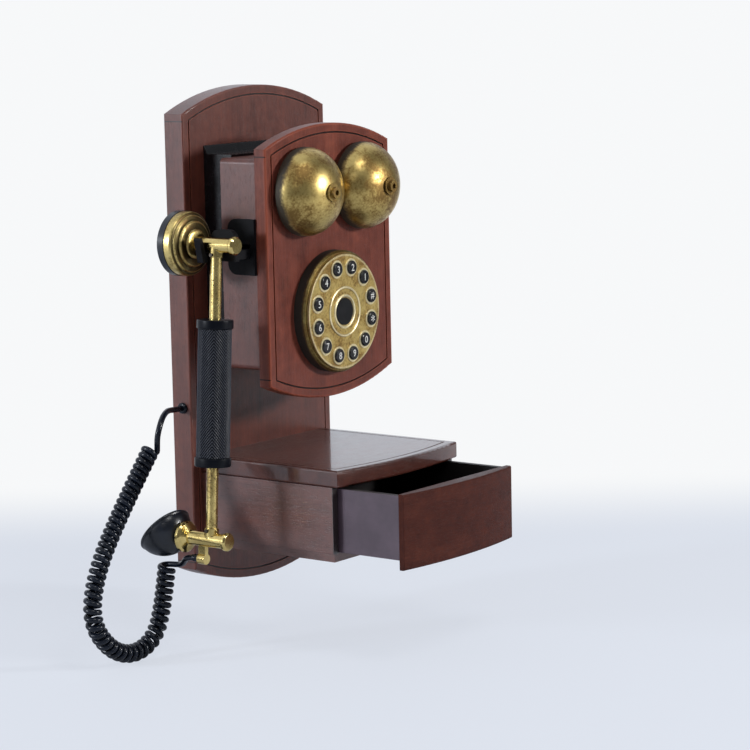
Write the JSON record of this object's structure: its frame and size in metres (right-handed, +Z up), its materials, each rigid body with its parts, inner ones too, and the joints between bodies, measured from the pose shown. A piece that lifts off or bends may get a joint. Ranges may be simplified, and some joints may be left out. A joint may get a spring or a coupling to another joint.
{
  "type": "wall telephone",
  "caption": "Old-style wooden wall telephone: arched back board, box with bells and push-button dial, handset hung on a switch hook with a curly cord, shelf and sliding drawer.",
  "frame": {"origin": "centre of the back board's rear face, on the wall plane", "axes": "+Z up, the front faces -Y, +Y into the wall, +X to the right seen from the front"},
  "size_m": [0.2621, 0.1893, 0.3792],
  "materials": {
    "wood": "satin",
    "dark_wood": "satin",
    "drawer_wood": "satin",
    "antique_brass": "antique",
    "steel": "satin",
    "black_plastic": "gloss",
    "board_green": "matte",
    "capsule_metal": "satin",
    "black_rubber": "satin"
  },
  "bodies": {
    "root": {"back_board": "wood", "rear_cover": "drawer_wood", "rear_screws": "steel", "hanger_plates": "steel", "neck": "dark_wood", "box_frame": "wood", "box_back": "dark_wood", "front_plate": "wood", "bell_left": "antique_brass", "bell_right": "antique_brass", "bell_bolts": "antique_brass", "dial_base": "black_plastic", "dial_ring": "antique_brass", "dial_centre": "black_plastic", "keypad_mat": "black_rubber", "keypad_board": "board_green", "hook_plate": "black_plastic", "hook_pin": "steel", "hook_switch": "black_plastic", "hook_spring": "steel", "main_board": "board_green", "ringer": "capsule_metal", "line_jack": "black_plastic", "shelf": "wood", "case_side_left": "wood", "case_side_right": "wood", "case_base": "dark_wood", "cord_grommet": "black_rubber", "cord_lead": "black_rubber", "curly_cord": "black_rubber"},
    "drawer": {"drawer_front": "wood", "drawer_side_left": "drawer_wood", "drawer_side_right": "drawer_wood", "drawer_back": "drawer_wood", "drawer_bottom": "drawer_wood"},
    "handset": {"ear_cap": "black_plastic", "ear_shell": "antique_brass", "ear_capsule": "capsule_metal", "upper_tee": "antique_brass", "stem": "antique_brass", "grip": "black_plastic", "lower_tee": "antique_brass", "mouth_collar": "antique_brass", "mouth_horn": "black_plastic", "mic_capsule": "black_plastic", "tee_screws": "steel", "cord_tail": "black_rubber"},
    "hook": {"hook_lever": "black_plastic"},
    "button_1": {"button_1": "black_plastic"},
    "button_2": {"button_2": "black_plastic"},
    "button_3": {"button_3": "black_plastic"},
    "button_4": {"button_4": "black_plastic"},
    "button_5": {"button_5": "black_plastic"},
    "button_6": {"button_6": "black_plastic"},
    "button_7": {"button_7": "black_plastic"},
    "button_8": {"button_8": "black_plastic"},
    "button_9": {"button_9": "black_plastic"},
    "button_0": {"button_0": "black_plastic"},
    "button_star": {"button_star": "black_plastic"},
    "button_hash": {"button_hash": "black_plastic"}
  },
  "joints": [
    {"name": "drawer_slide", "type": "slide", "parent": "root", "child": "drawer", "axis": [0, -1, 0], "range_m": [-0.0498, 0.03]},
    {"name": "handset_lift", "type": "slide", "parent": "root", "child": "handset", "axis": [0, 0, 1], "range_m": [0, 0.018]},
    {"name": "hook_rise", "type": "hinge", "parent": "root", "child": "hook", "pos_m": [-0.05, -0.0625, 0.0636], "axis": [0, 1, 0], "range_deg": [0, 8], "deforming": ["hook_spring"]},
    {"name": "press_1", "type": "slide", "parent": "root", "child": "button_1", "axis": [0, 1, 0], "range_m": [0, 0.0015], "stiffness_N_per_m": 300},
    {"name": "press_2", "type": "slide", "parent": "root", "child": "button_2", "axis": [0, 1, 0], "range_m": [0, 0.0015], "stiffness_N_per_m": 300},
    {"name": "press_3", "type": "slide", "parent": "root", "child": "button_3", "axis": [0, 1, 0], "range_m": [0, 0.0015], "stiffness_N_per_m": 300},
    {"name": "press_4", "type": "slide", "parent": "root", "child": "button_4", "axis": [0, 1, 0], "range_m": [0, 0.0015], "stiffness_N_per_m": 300},
    {"name": "press_5", "type": "slide", "parent": "root", "child": "button_5", "axis": [0, 1, 0], "range_m": [0, 0.0015], "stiffness_N_per_m": 300},
    {"name": "press_6", "type": "slide", "parent": "root", "child": "button_6", "axis": [0, 1, 0], "range_m": [0, 0.0015], "stiffness_N_per_m": 300},
    {"name": "press_7", "type": "slide", "parent": "root", "child": "button_7", "axis": [0, 1, 0], "range_m": [0, 0.0015], "stiffness_N_per_m": 300},
    {"name": "press_8", "type": "slide", "parent": "root", "child": "button_8", "axis": [0, 1, 0], "range_m": [0, 0.0015], "stiffness_N_per_m": 300},
    {"name": "press_9", "type": "slide", "parent": "root", "child": "button_9", "axis": [0, 1, 0], "range_m": [0, 0.0015], "stiffness_N_per_m": 300},
    {"name": "press_0", "type": "slide", "parent": "root", "child": "button_0", "axis": [0, 1, 0], "range_m": [0, 0.0015], "stiffness_N_per_m": 300},
    {"name": "press_star", "type": "slide", "parent": "root", "child": "button_star", "axis": [0, 1, 0], "range_m": [0, 0.0015], "stiffness_N_per_m": 300},
    {"name": "press_hash", "type": "slide", "parent": "root", "child": "button_hash", "axis": [0, 1, 0], "range_m": [0, 0.0015], "stiffness_N_per_m": 300}
  ],
  "couplings": [
    {"joint": "hook_rise", "follows": "handset_lift", "rad_per_m": 7.75}
  ]
}
